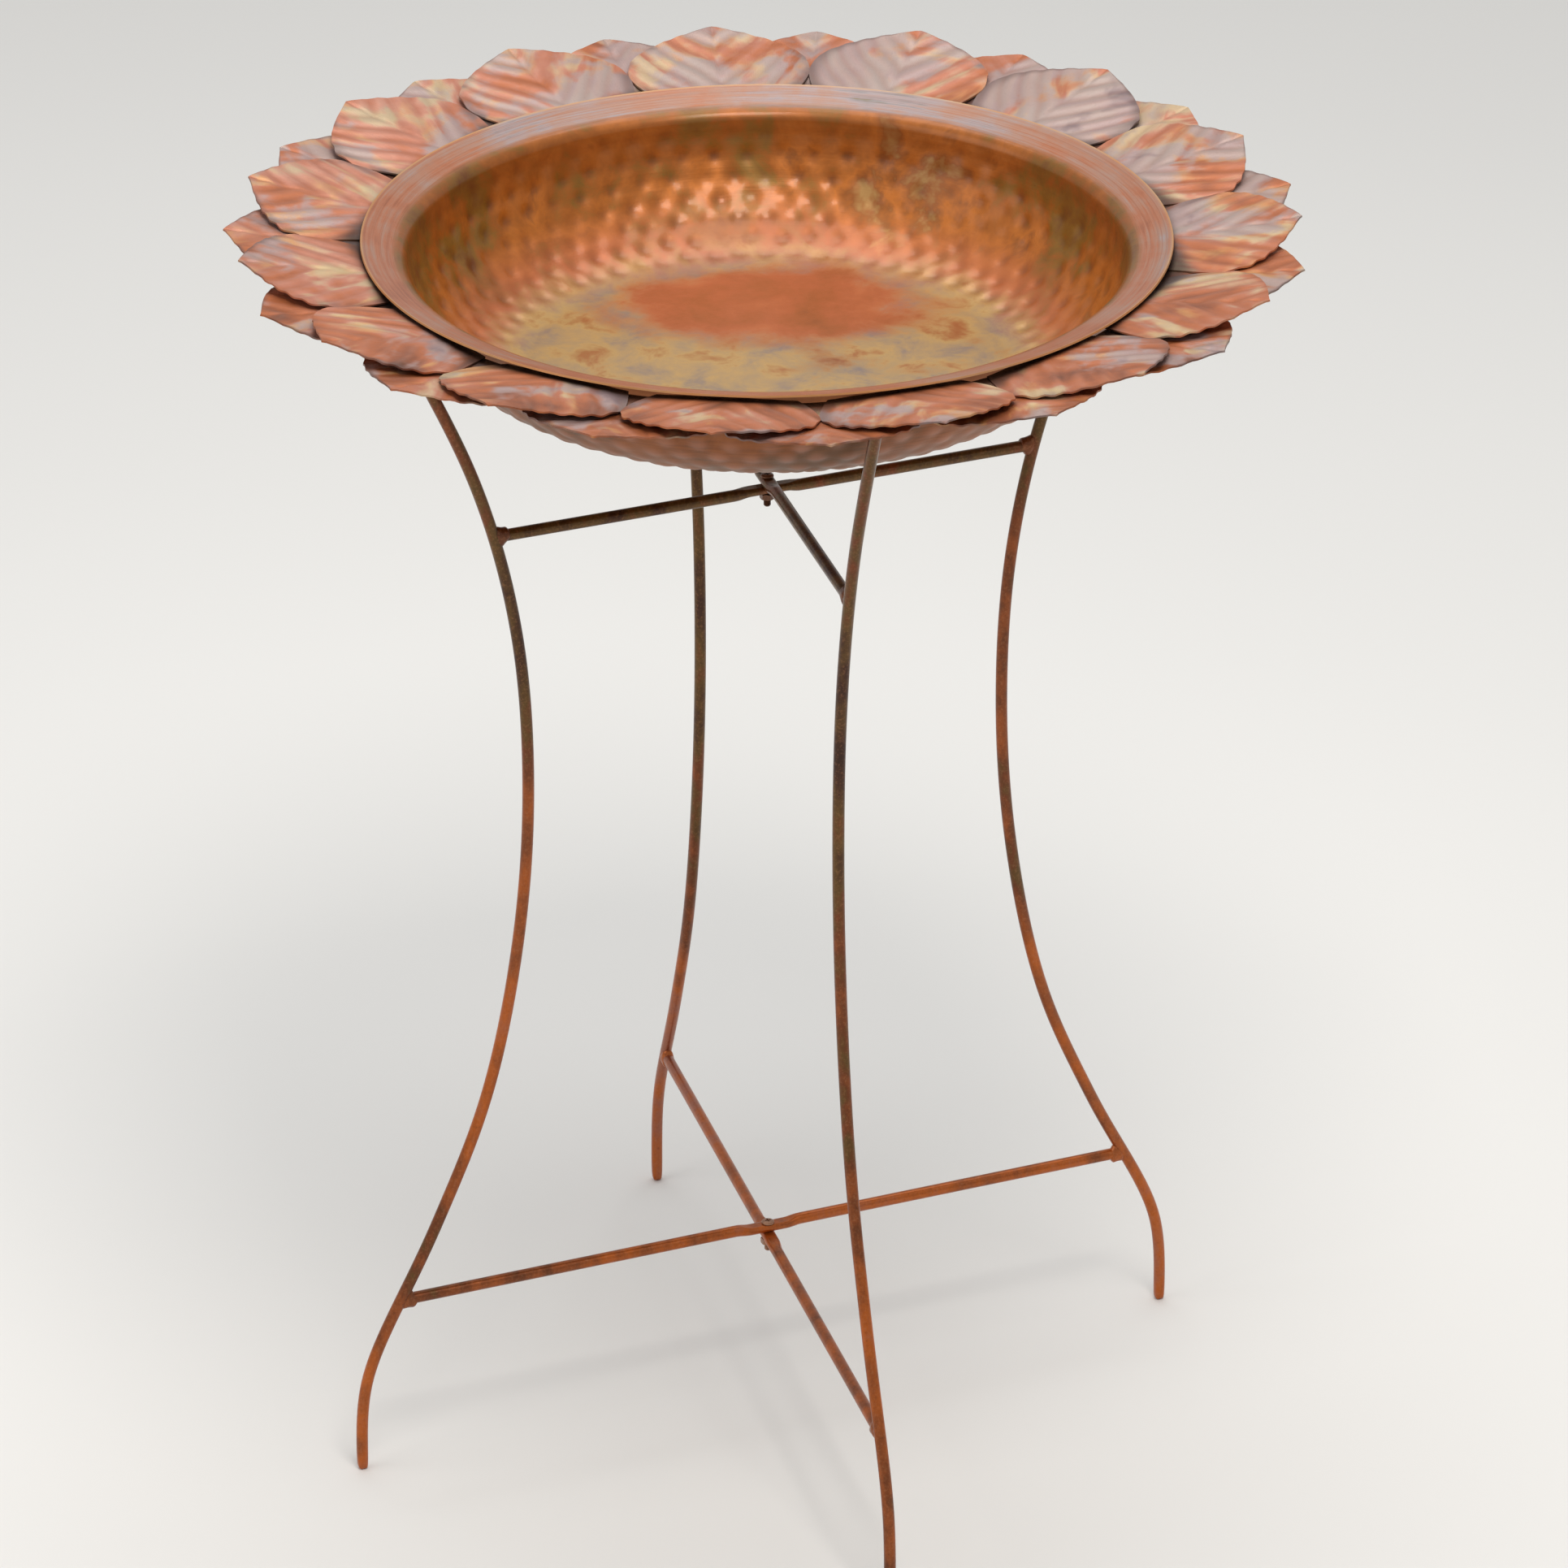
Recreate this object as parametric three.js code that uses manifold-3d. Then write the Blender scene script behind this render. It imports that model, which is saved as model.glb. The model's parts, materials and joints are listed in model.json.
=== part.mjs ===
// A flower-rim bird bath. A round copper basin is ringed by two rows of leaf petals and rests on the
// tips of a folding stand: two welded rod frames that cross on two upright pivot bolts.
// Millimetres, +Z up. The origin is on the ground under the basin's centre, and +X runs along frame A.

import * as THREE from "three";
import { mergeVertices } from "three/addons/utils/BufferGeometryUtils.js";
import Module from "manifold-3d";

const wasm = await Module();
wasm.setup();

// Driving dimensions ---------------------------------------------------------------------------

const CLEARANCE = 0.3; // gap kept between neighbouring pieces

// Basin: heights are measured down from the flange's outer edge.
const RIM_HEIGHT = 685;
const RIM_RADIUS = 210;
const SHEET = 1.2;
const WALL_RADIUS = 188; // outside of the upright wall
const SHOULDER_RADIUS = 6; // turn from the wall into the flange
const FLANGE_FALL = 5.5; // how far the flange drops from its edge to the shoulder
const FLOOR_RADIUS = 120; // flat part of the floor
const BASIN_DEPTH = 76; // outside of the floor
const BASIN_SEGMENTS = 60;

// Petals: leaf blades fixed under the flange, lower row staggered by half a pitch.
const PETALS_PER_ROW = 15;
const PETAL_SHEET = 1.2;
const PETAL_HALF_WIDTH = 48.6;
const PETAL_WIDEST = 0.48; // share of the length at which a petal is widest
const PETAL_ROOT_WIDTH = 0.72; // share of the width left at the root
const FIRST_PETAL_ANGLE = 2.2;
const UPPER_ROW = { name: "petal_upper", root: 200, tip: 276.5, tilt: 12, drop: 6.3, turn: 0 };
const LOWER_ROW = { name: "petal_lower", root: 203, tip: 281, tilt: 8.6, drop: 8.1, turn: 0.5 };

// Stand: round rod, both frames alike, frame B turned from frame A by the open angle.
const ROD_RADIUS = 3.175;
const OPEN_ANGLE = 83;
const LEG_LINE = [
  [238, 0], [238, 20], [234, 56], [194, 138], [163, 212],
  [143.5, 300], [136, 390], [141, 482], [161.5, 568], [208.6, 675.3],
]; // radius and height of the leg's centre line
const LEG_STEPS = 40;
const LOWER_CROSSING = 96;
const UPPER_CROSSING = 543;

// Pivots: each bar is pressed flat where the bolt goes through.
const PAD_LENGTH = 25;
const PAD_WIDTH = 7.8;
const PAD_HEIGHT = 4.2;
const PAD_INSET = 0.1; // pad's inner face, inside the rod's own surface
const PAD_OVERLAP = 3;
const HOLE_RADIUS = 2.25;
const BOLT_RADIUS = 1.95;
const BOLT_HEAD_RADIUS = 3.5;
const BOLT_HEAD_HEIGHT = 1.4; // low dome
const BOLT_TAIL = 4.2; // thread left standing out of the nut
const NUT_ACROSS_FLATS = 7;
const NUT_HEIGHT = 3.2;

// Materials ------------------------------------------------------------------------------------

const finish = (color, roughness, metalness) =>
  new THREE.MeshStandardMaterial({ color, roughness, metalness });
const basinCopper = () => finish(0xa9633c, 0.38, 0.85);
const petalCopper = () => finish(0xc07f5f, 0.42, 0.8);
const standPaint = () => finish(0x6b3f2c, 0.45, 0.5);
const fastenerSteel = () => finish(0x4a2f24, 0.5, 0.6);

// Helpers --------------------------------------------------------------------------------------

const radians = THREE.MathUtils.degToRad;

function piece(name, geometry, material) {
  const mesh = new THREE.Mesh(geometry, material);
  mesh.name = name;
  return mesh;
}

function toSolid(geometry) {
  const bare = geometry.clone();
  bare.deleteAttribute("normal");
  bare.deleteAttribute("uv");
  const merged = mergeVertices(bare, 1e-4);
  const vertProperties = new Float32Array(merged.attributes.position.array);
  const triVerts = new Uint32Array(merged.index.array);
  return new wasm.Manifold(new wasm.Mesh({ numProp: 3, vertProperties, triVerts }));
}

function toGeometry(solid) {
  const mesh = solid.getMesh();
  const geometry = new THREE.BufferGeometry();
  geometry.setAttribute("position", new THREE.BufferAttribute(mesh.vertProperties, 3));
  geometry.setIndex(new THREE.BufferAttribute(mesh.triVerts, 1));
  geometry.computeVertexNormals();
  return geometry;
}

function circle(radius) {
  return new THREE.Shape().absarc(0, 0, radius, 0, 2 * Math.PI);
}

// Basin ----------------------------------------------------------------------------------------

// One face of the sheet, from the axis out to the flange's edge; inset is 0 outside, SHEET inside.
function basinFace(inset) {
  const bowlRadius = WALL_RADIUS - FLOOR_RADIUS;
  const bowlCentre = RIM_HEIGHT - BASIN_DEPTH + bowlRadius;
  const turnX = WALL_RADIUS + SHOULDER_RADIUS;
  const turnZ = RIM_HEIGHT - FLANGE_FALL - SHOULDER_RADIUS - SHEET;
  const line = [[0, RIM_HEIGHT - BASIN_DEPTH + inset]];
  const bowlTurns = 7;
  const bowlEnd = Math.acos((bowlCentre - turnZ) / bowlRadius);
  for (let i = 0; i <= bowlTurns; i += 1) {
    const angle = (i / bowlTurns) * bowlEnd;
    const r = bowlRadius - inset;
    line.push([FLOOR_RADIUS + r * Math.sin(angle), bowlCentre - r * Math.cos(angle)]);
  }
  const turnRadius = SHOULDER_RADIUS + inset;
  const shoulderTurns = 4;
  for (let i = 0; i <= shoulderTurns; i += 1) {
    const angle = (i / shoulderTurns) * radians(79);
    line.push([turnX - turnRadius * Math.cos(angle), turnZ + turnRadius * Math.sin(angle)]);
  }
  line.push([RIM_RADIUS, RIM_HEIGHT - SHEET + inset]);
  return line;
}

function basin() {
  const profile = [...basinFace(0), ...basinFace(SHEET).reverse()];
  const points = profile.map(([r, z]) => new THREE.Vector2(r, z));
  const geometry = new THREE.LatheGeometry(points, BASIN_SEGMENTS).rotateX(Math.PI / 2);
  return piece("basin", geometry, basinCopper());
}

// Petals ---------------------------------------------------------------------------------------

// Half width of a leaf blade at t, from 0 at the root to 1 at the pointed tip.
function petalHalfWidth(t) {
  if (t < PETAL_WIDEST) {
    const grow = Math.sin((t / PETAL_WIDEST) * (Math.PI / 2));
    return PETAL_HALF_WIDTH * (PETAL_ROOT_WIDTH + (1 - PETAL_ROOT_WIDTH) * grow);
  }
  const s = (t - PETAL_WIDEST) / (1 - PETAL_WIDEST);
  return PETAL_HALF_WIDTH * (1 - s ** 2.3) ** 0.85;
}

function petalOutline(length) {
  const stations = [0, 0.2, 0.48, 0.66, 0.8, 0.91];
  const right = stations.map((t) => new THREE.Vector2(t * length, -petalHalfWidth(t)));
  const left = stations.map((t) => new THREE.Vector2(t * length, petalHalfWidth(t))).reverse();
  return new THREE.Shape([...right, new THREE.Vector2(length, 0), ...left]);
}

function petalRow(row) {
  const ring = new THREE.Group();
  const length = (row.tip - row.root) / Math.cos(radians(row.tilt));
  const blade = { depth: PETAL_SHEET, bevelEnabled: false };
  for (let i = 0; i < PETALS_PER_ROW; i += 1) {
    const number = String(i + 1).padStart(2, "0");
    const geometry = new THREE.ExtrudeGeometry(petalOutline(length), blade);
    const petal = piece(`${row.name}_${number}`, geometry, petalCopper());
    petal.position.set(row.root, 0, RIM_HEIGHT - row.drop);
    petal.rotation.y = -radians(row.tilt);
    const place = new THREE.Group();
    place.rotation.z = radians(FIRST_PETAL_ANGLE + ((i + row.turn) * 360) / PETALS_PER_ROW);
    place.add(petal);
    ring.add(place);
  }
  return ring;
}

// Stand ----------------------------------------------------------------------------------------

const legCurve = new THREE.CatmullRomCurve3(LEG_LINE.map(([r, z]) => new THREE.Vector3(r, 0, z)));

// Centre-line radius of a leg at a height, found by halving the stretch of curve that holds it.
function legRadiusAt(height) {
  let low = 0;
  let high = 1;
  for (let i = 0; i < 40; i += 1) {
    const middle = (low + high) / 2;
    if (legCurve.getPoint(middle).z < height) low = middle;
    else high = middle;
  }
  return legCurve.getPoint(low).x;
}

function leg(name, angle) {
  const settings = { steps: LEG_STEPS, curveSegments: 4, extrudePath: legCurve };
  const mesh = piece(name, new THREE.ExtrudeGeometry(circle(ROD_RADIUS), settings), standPaint());
  mesh.rotation.z = angle;
  return mesh;
}

// How far out a bar at this height can reach before it meets the sloping legs.
function barReach(height) {
  const below = legRadiusAt(height - ROD_RADIUS);
  const above = legRadiusAt(height + ROD_RADIUS);
  const slope = (above - below) / (2 * ROD_RADIUS);
  return Math.min(below, above) - ROD_RADIUS * Math.hypot(1, slope) - CLEARANCE;
}

// A cross bar: two lengths of rod and, between them, the flat pad with the bolt's hole.
// side is 1 where the bar lies on top at the crossing and -1 where it lies below.
function crossBar(name, crossing, side) {
  const height = crossing + side * (ROD_RADIUS + CLEARANCE / 2);
  const reach = barReach(height);
  const inner = PAD_LENGTH / 2 - PAD_OVERLAP;
  const rod = new THREE.CylinderGeometry(ROD_RADIUS, ROD_RADIUS, reach - inner, 12, 1);
  rod.rotateZ(Math.PI / 2);
  const offset = (reach + inner) / 2;
  const right = toSolid(rod.clone().translate(offset, 0, 0));
  const left = toSolid(rod.clone().translate(-offset, 0, 0));
  const straight = PAD_LENGTH / 2 - PAD_WIDTH / 2;
  const outline = new THREE.Shape();
  outline.absarc(straight, 0, PAD_WIDTH / 2, -Math.PI / 2, Math.PI / 2);
  outline.absarc(-straight, 0, PAD_WIDTH / 2, Math.PI / 2, 1.5 * Math.PI);
  outline.holes.push(circle(HOLE_RADIUS));
  const flat = { depth: PAD_HEIGHT, bevelEnabled: false, curveSegments: 6 };
  const pad = new THREE.ExtrudeGeometry(outline, flat);
  const innerFace = ROD_RADIUS - PAD_INSET;
  pad.translate(0, 0, side > 0 ? -innerFace : innerFace - PAD_HEIGHT);
  const solid = right.add(toSolid(pad)).add(left);
  const mesh = piece(name, toGeometry(solid), standPaint());
  mesh.position.z = height;
  return mesh;
}

function frame(letter, legNames, lowerSide) {
  const group = new THREE.Group();
  group.add(leg(`leg_${letter}_${legNames[0]}`, 0));
  group.add(leg(`leg_${letter}_${legNames[1]}`, Math.PI));
  group.add(crossBar(`lower_bar_${letter}`, LOWER_CROSSING, lowerSide));
  group.add(crossBar(`upper_bar_${letter}`, UPPER_CROSSING, -lowerSide));
  return group;
}

// Pivot bolts ----------------------------------------------------------------------------------

// Height of the stacked pads' outer faces above and below the crossing.
const PAD_FACE = CLEARANCE / 2 + PAD_INSET + PAD_HEIGHT;

function pivotBolt(name, crossing) {
  const under = PAD_FACE + CLEARANCE;
  const crown = under + BOLT_HEAD_HEIGHT;
  const tail = -(under + NUT_HEIGHT + BOLT_TAIL);
  const profile = [
    [0, tail], [BOLT_RADIUS - 0.4, tail], [BOLT_RADIUS, tail + 0.4], [BOLT_RADIUS, under],
    [BOLT_HEAD_RADIUS, under], [BOLT_HEAD_RADIUS, under + 0.5],
    [BOLT_HEAD_RADIUS - 0.9, crown - 0.25], [BOLT_HEAD_RADIUS - 2, crown], [0, crown],
  ];
  const points = profile.map(([r, z]) => new THREE.Vector2(r, z));
  const geometry = new THREE.LatheGeometry(points, 16).rotateX(Math.PI / 2);
  const mesh = piece(name, geometry, fastenerSteel());
  mesh.position.z = crossing;
  return mesh;
}

function pivotNut(name, crossing) {
  const cornerRadius = NUT_ACROSS_FLATS / Math.sqrt(3);
  const corners = [0, 1, 2, 3, 4, 5].map((i) => {
    const angle = (i * Math.PI) / 3;
    return new THREE.Vector2(cornerRadius * Math.cos(angle), cornerRadius * Math.sin(angle));
  });
  const outline = new THREE.Shape(corners);
  outline.holes.push(circle(HOLE_RADIUS));
  const settings = { depth: NUT_HEIGHT, bevelEnabled: false, curveSegments: 6 };
  const mesh = piece(name, new THREE.ExtrudeGeometry(outline, settings), fastenerSteel());
  mesh.position.z = crossing - PAD_FACE - CLEARANCE - NUT_HEIGHT;
  return mesh;
}

// Assembly -------------------------------------------------------------------------------------

const frameA = frame("a", ["right", "left"], 1);
const frameB = frame("b", ["back", "front"], -1);
frameB.rotation.z = radians(OPEN_ANGLE);

const pivots = new THREE.Group();
pivots.add(pivotBolt("lower_pivot_bolt", LOWER_CROSSING));
pivots.add(pivotNut("lower_pivot_nut", LOWER_CROSSING));
pivots.add(pivotBolt("upper_pivot_bolt", UPPER_CROSSING));
pivots.add(pivotNut("upper_pivot_nut", UPPER_CROSSING));

const top = new THREE.Group();
top.add(basin(), petalRow(UPPER_ROW), petalRow(LOWER_ROW));

const birdBath = new THREE.Group();
birdBath.add(frameA, frameB, pivots, top);

export default birdBath;
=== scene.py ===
# %% [markdown]
# # A flower-rim bird bath
# A hammered copper basin lies on a folding stand of bent rod, ringed by thirty leaf petals.
# The real one is spun, hammered, pressed and welded, and its copper is coloured with a flame.
# Each lesson below makes one kind of piece, in metres, in the same frame as the CAD model, and
# says why it is made that way. The CAD nodes give every place and size, and are then hidden.

import json
import math
import random

import bmesh
import bpy
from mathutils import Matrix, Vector

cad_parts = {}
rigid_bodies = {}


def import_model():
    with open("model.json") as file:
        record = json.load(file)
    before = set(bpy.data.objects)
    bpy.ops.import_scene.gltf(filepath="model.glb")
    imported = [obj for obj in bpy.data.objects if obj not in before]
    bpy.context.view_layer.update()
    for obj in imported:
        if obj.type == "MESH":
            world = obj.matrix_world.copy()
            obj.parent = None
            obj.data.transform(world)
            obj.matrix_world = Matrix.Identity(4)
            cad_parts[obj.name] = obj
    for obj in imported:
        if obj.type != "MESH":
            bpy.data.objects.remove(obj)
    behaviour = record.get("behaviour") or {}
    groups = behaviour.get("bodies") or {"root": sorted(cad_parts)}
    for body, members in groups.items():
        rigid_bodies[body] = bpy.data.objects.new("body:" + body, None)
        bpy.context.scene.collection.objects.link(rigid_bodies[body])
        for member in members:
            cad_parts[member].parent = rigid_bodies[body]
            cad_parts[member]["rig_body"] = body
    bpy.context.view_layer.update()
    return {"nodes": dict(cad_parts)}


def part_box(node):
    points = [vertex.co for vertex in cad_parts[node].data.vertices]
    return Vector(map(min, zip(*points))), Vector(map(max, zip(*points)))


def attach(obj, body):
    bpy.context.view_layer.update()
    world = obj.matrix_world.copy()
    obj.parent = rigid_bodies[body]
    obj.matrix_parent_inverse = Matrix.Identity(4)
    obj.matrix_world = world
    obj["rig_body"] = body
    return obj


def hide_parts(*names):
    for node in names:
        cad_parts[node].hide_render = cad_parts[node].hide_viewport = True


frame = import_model()
MM = 0.001

# %% [markdown]
# ## Ways of working
# Blender's operators act on whatever is selected, so each step starts with one object alone and a
# choice of points made by a test on their place. These few helpers do that. A press is a Displace
# modifier whose strength is painted on the points by a formula: the way a die or a hammer moves
# sheet metal. The painted share is kept on the mesh, where a finish can read it.

# %% Helpers for selecting and shaping
def alone(piece):
    """Leaves only this piece selected and active, in object mode."""
    if bpy.context.object and bpy.context.object.mode != "OBJECT":
        bpy.ops.object.mode_set(mode="OBJECT")
    bpy.ops.object.select_all(action="DESELECT")
    bpy.context.view_layer.objects.active = piece
    piece.select_set(True)
    return piece


def open_up(piece):
    """Enters edit mode on this piece, with vertices chosen one by one."""
    alone(piece)
    bpy.context.tool_settings.mesh_select_mode = (True, False, False)
    bpy.ops.object.mode_set(mode="EDIT")


def close_up(piece):
    bpy.ops.object.mode_set(mode="OBJECT")
    return piece


def choose(piece, test):
    """Selects the points whose place passes the test, and the edges and faces between them."""
    bpy.ops.mesh.select_all(action="DESELECT")
    shape = bmesh.from_edit_mesh(piece.data)
    for point in shape.verts:
        if test(point.co):
            point.select = True
    shape.select_flush(True)
    bmesh.update_edit_mesh(piece.data)


def apply_modifier(piece, kind, **settings):
    """Adds a modifier, gives it these settings and applies it."""
    alone(piece)
    modifier = piece.modifiers.new(kind.lower(), kind)
    for name, value in settings.items():
        setattr(modifier, name, value)
    bpy.ops.object.modifier_apply(modifier=modifier.name)


def press(piece, name, share, push, direction="NORMAL"):
    """Moves every point by push times share(x, y, z), and keeps the share, 0 to 1, under a name."""
    shares = [min(max(share(*point.co), 0.0), 1.0) for point in piece.data.vertices]
    group = piece.vertex_groups.new(name="pressed")
    for index, value in enumerate(shares):
        group.add([index], value, "REPLACE")
    apply_modifier(
        piece, "DISPLACE", strength=push, mid_level=0, direction=direction, vertex_group="pressed"
    )
    piece.vertex_groups.clear()
    painted = piece.data.attributes.new(name, "FLOAT", "POINT")
    painted.data.foreach_set("value", shares)


def settle(piece, angle=40):
    """Writes place, turn and size into the mesh, and shades it smooth up to an angle."""
    alone(piece)
    bpy.ops.object.transform_apply(location=True, rotation=True, scale=True)
    bpy.ops.object.shade_smooth_by_angle(angle=math.radians(angle))


def hand_over(piece, name, node, finish=None):
    """Names a finished piece, gives it its finish, and lets it ride with a CAD node's body."""
    piece.name = name
    piece.data.name = name
    if finish:
        piece.data.materials.clear()
        piece.data.materials.append(finish)
    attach(piece, frame["nodes"][node]["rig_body"])
    return piece


def copy_of(piece):
    """Another piece with its own mesh."""
    alone(piece)
    bpy.ops.object.duplicate(linked=False)
    return bpy.context.object


def turn_on_lathe(profile, steps):
    """Spins a profile in the XZ plane, from axis or rim to axis or rim, into a closed round skin."""
    bpy.ops.object.select_all(action="DESELECT")
    bpy.ops.mesh.primitive_plane_add(size=MM, location=(0, 0, 0))
    piece = bpy.context.object
    open_up(piece)
    bpy.ops.mesh.select_all(action="SELECT")
    bpy.ops.mesh.merge(type="CENTER")
    bpy.ops.transform.translate(value=profile[0])
    for before, after in zip(profile, profile[1:]):
        bpy.ops.mesh.extrude_region_move(TRANSFORM_OT_translate={"value": after - before})
    bpy.ops.mesh.select_all(action="SELECT")
    bpy.ops.mesh.spin(steps=steps, angle=2 * math.pi, center=(0, 0, 0), axis=(0, 0, 1))
    bpy.ops.mesh.select_all(action="SELECT")
    bpy.ops.mesh.remove_doubles(threshold=0.004 * MM)
    bpy.ops.mesh.normals_make_consistent(inside=False)
    return close_up(piece)


def smooth_step(value, start, end):
    share = min(max((value - start) / (end - start), 0.0), 1.0)
    return share * share * (3 - 2 * share)


print("helpers ready")

# %% [markdown]
# ## Writing a finish as sums
# A finish is a tree of nodes. Drawn by hand it is slow to read, so here a socket is wrapped in a
# small class whose plus, minus and times add the Math nodes. Every other node comes from one
# method, `node`. Colours are mixed by Mix nodes, because a Math node would turn them grey.

# %% The finish kit
class Wire:
    """An output socket that can be used in sums."""

    def __init__(self, finish, socket):
        self.finish = finish
        self.socket = socket

    def math(self, operation, *others, clamp=False):
        settings = {"operation": operation, "use_clamp": clamp}
        return self.finish.node("ShaderNodeMath", settings, dict(enumerate((self, *others))))

    def __add__(self, other):
        return self.math("ADD", other)

    def __mul__(self, other):
        return self.math("MULTIPLY", other)

    def __sub__(self, other):
        return self.math("SUBTRACT", other)

    def __truediv__(self, other):
        return self.math("DIVIDE", other)

    def __pow__(self, other):
        return self.math("POWER", other)

    def __rsub__(self, other):
        return self.finish.node("ShaderNodeMath", {"operation": "SUBTRACT"}, {0: other, 1: self})

    __radd__ = __add__
    __rmul__ = __mul__

    def between(self, start, end):
        """0 at start, 1 at end, with soft shoulders."""
        settings = {"interpolation_type": "SMOOTHSTEP"}
        ends = {"Value": self, "From Min": start, "From Max": end}
        return self.finish.node("ShaderNodeMapRange", settings, ends)


class Finish:
    """A material whose nodes are added one by one."""

    def __init__(self, name):
        self.material = bpy.data.materials.new(name)
        self.material.use_nodes = True
        self.tree = self.material.node_tree
        self.tree.nodes.clear()

    def node(self, kind, settings=None, sockets=None, output=None):
        """Adds a node. Settings come first, a ramp's stops among them, then values and links."""
        node = self.tree.nodes.new(kind)
        for name, value in (settings or {}).items():
            if name == "stops":
                self.set_stops(node.color_ramp, value)
            else:
                setattr(node, name, value)
        for name, value in (sockets or {}).items():
            socket = node.inputs[name] if isinstance(name, int) else self.open_socket(node.inputs, name)
            if isinstance(value, Wire):
                self.tree.links.new(value.socket, socket)
            else:
                socket.default_value = value
        return Wire(self, self.open_socket(node.outputs, output) if node.outputs else None)

    @staticmethod
    def open_socket(sockets, name):
        return next(s for s in sockets if s.enabled and name in (None, s.name))

    @staticmethod
    def set_stops(ramp, stops):
        while len(ramp.elements) > 1:
            ramp.elements.remove(ramp.elements[-1])
        ramp.elements[0].position = stops[0][0]
        ramp.elements[0].color = stops[0][1]
        for place, colour in stops[1:]:
            ramp.elements.new(place).color = colour

    def place(self):
        """Object coordinates, and their x, y and z."""
        here = self.node("ShaderNodeTexCoord", output="Object")
        split = self.node("ShaderNodeSeparateXYZ", None, {"Vector": here}).socket.node
        return here, *(Wire(self, split.outputs[axis]) for axis in ("X", "Y", "Z"))

    def vector(self, x, y, z):
        return self.node("ShaderNodeCombineXYZ", None, {"X": x, "Y": y, "Z": z})

    def noise(self, where, scale, detail=4.0, roughness=0.55, distortion=0.0):
        sockets = {"Vector": where, "Scale": scale, "Detail": detail}
        sockets |= {"Roughness": roughness, "Distortion": distortion}
        return self.node("ShaderNodeTexNoise", None, sockets, output="Fac")

    def mix(self, share, first, second, blend="MIX"):
        settings = {"data_type": "RGBA", "blend_type": blend}
        return self.node("ShaderNodeMix", settings, {"Factor": share, "A": first, "B": second})

    def ramp(self, value, *stops):
        return self.node("ShaderNodeValToRGB", {"stops": stops}, {"Fac": value}, output="Color")

    def bump(self, height, distance, strength=1.0):
        sockets = {"Height": height, "Distance": distance, "Strength": strength}
        return self.node("ShaderNodeBump", None, sockets)

    def done(self, **sockets):
        """Adds the shader, with underscores for the spaces in its sockets' names."""
        named = {name.replace("_", " "): value for name, value in sockets.items()}
        shader = self.node("ShaderNodeBsdfPrincipled", None, named)
        self.node("ShaderNodeOutputMaterial", None, {"Surface": shader})
        print("finish", self.material.name, "has", len(self.tree.nodes), "nodes")
        return self.material


def paint(red, green, blue):
    """A colour of a paint chart, 0 to 255, as the light values that a shader wants."""
    def light(step):
        share = step / 255
        return share / 12.92 if share <= 0.04045 else ((share + 0.055) / 1.055) ** 2.4

    return light(red), light(green), light(blue), 1.0


LAVENDER = paint(160, 144, 142)
DARK_LAVENDER = paint(102, 86, 94)
MAUVE = paint(168, 124, 114)
SALMON = paint(178, 114, 90)
PALE_SALMON = paint(192, 136, 114)
ORANGE = paint(172, 98, 58)
GOLD = paint(204, 156, 92)
STRAW = paint(190, 180, 140)
RUST = paint(138, 76, 44)
BROWN = paint(98, 52, 22)
OLIVE = paint(118, 96, 42)


def across_view(x, y):
    """Distances towards the far side and to the right, as seen from the camera."""
    return x * 0.384 + y * 0.923, x * 0.923 - y * 0.384
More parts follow.
